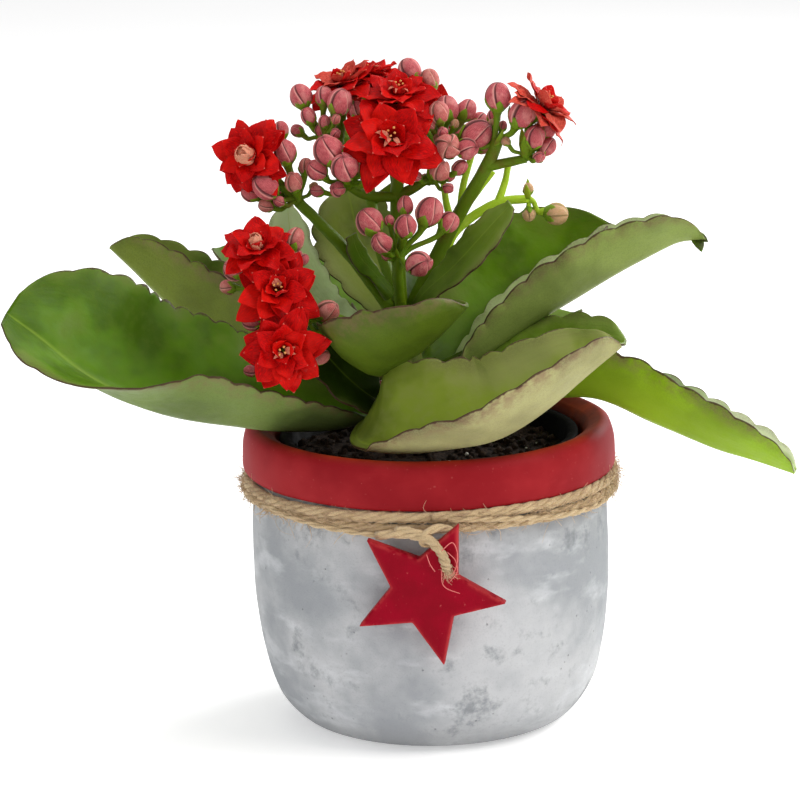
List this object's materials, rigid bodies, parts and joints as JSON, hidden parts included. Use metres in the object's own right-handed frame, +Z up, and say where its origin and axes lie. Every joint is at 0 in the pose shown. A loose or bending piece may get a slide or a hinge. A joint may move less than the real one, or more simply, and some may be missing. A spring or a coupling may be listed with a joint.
{
  "type": "potted kalanchoe",
  "caption": "Flowering succulent in a grey pot with a painted rim, twine band and hung star; stands on a shelf or table.",
  "frame": {"origin": "centre of the pot's flat foot", "axes": "+Z up, -Y to the front where the star hangs, +X to the right"},
  "size_m": [0.1975, 0.1261, 0.1707],
  "materials": {
    "cement": "matte grey cement wash, rim painted satin red",
    "liner_plastic": "dark moulded",
    "peat": "loose moist peat with perlite",
    "jute": "twisted hairy twine",
    "red_paint": "satin red paint",
    "stem_green": "fleshy stem",
    "stalk_green": "fleshy stalk with dusty pink buds",
    "shoot_green": "pale young shoot",
    "bud_pink": "matte closed petals",
    "petal_red": "soft satin petal",
    "leaf_green": "waxy fleshy leaf",
    "pale_leaf": "waxy pale leaf"
  },
  "bodies": {
    "root": {"pot": "cement", "nursery_pot": "liner_plastic", "stem": "stem_green", "soil": "peat", "twine": "jute", "star_tag": "red_paint", "stalk_left": "stalk_green", "stalk_centre": "stalk_green", "stalk_right": "stalk_green", "stalk_front": "stalk_green", "stalk_low_left": "stalk_green", "stalk_shoots": "shoot_green", "stalk_rear": "stalk_green", "flower_crown": "petal_red", "flower_crown_left": "petal_red", "flower_crown_middle": "petal_red", "flower_centre": "petal_red", "flower_left": "petal_red", "flower_low_top": "petal_red", "flower_low_middle": "petal_red", "flower_low_bottom": "petal_red", "flower_right": "petal_red", "flower_rear": "petal_red", "flower_rear_right": "petal_red", "leaf_big_left": "leaf_green", "leaf_front": "leaf_green", "leaf_drooping_right": "pale_leaf", "leaf_upper_right": "leaf_green", "leaf_big_back": "leaf_green", "leaf_right_back": "leaf_green", "leaf_upper_left": "leaf_green", "leaf_centre_front": "leaf_green", "leaf_centre_right": "leaf_green", "leaf_centre_left": "leaf_green", "leaf_pale_left": "pale_leaf", "leaf_upright_back": "leaf_green", "leaf_bract": "pale_leaf", "leaf_rear_left": "leaf_green", "leaf_rear_middle": "leaf_green", "leaf_rear_right": "leaf_green", "leaf_low_rear_left": "leaf_green"}
  },
  "joints": []
}
